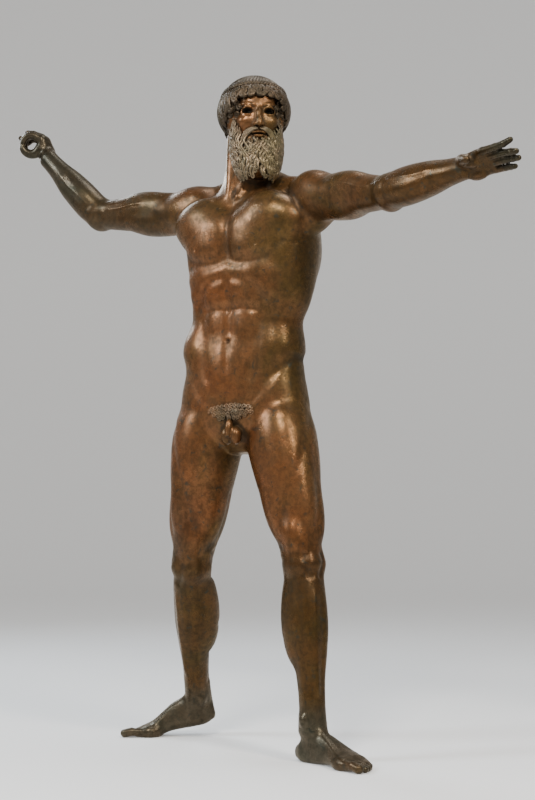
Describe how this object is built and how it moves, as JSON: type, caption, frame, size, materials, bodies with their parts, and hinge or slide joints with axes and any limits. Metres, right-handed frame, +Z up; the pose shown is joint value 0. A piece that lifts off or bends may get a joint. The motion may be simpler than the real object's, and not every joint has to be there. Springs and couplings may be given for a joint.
{
  "type": "bronze statue of a standing bearded god",
  "caption": "Over-life-size bronze of a bearded nude man with both arms stretched out, striding, one heel raised, one hand closed round a lost shaft.",
  "frame": {"origin": "centre of the bounding box seen from above, at the level of the soles", "axes": "+Z up, +X from the right hand towards the stretched left hand, the chest faces about -Y"},
  "size_m": [2.0327, 0.4814, 2.0897],
  "materials": {
    "bronze": "patinated, waxed satin"
  },
  "bodies": {
    "root": {"figure": "bronze"}
  },
  "joints": []
}
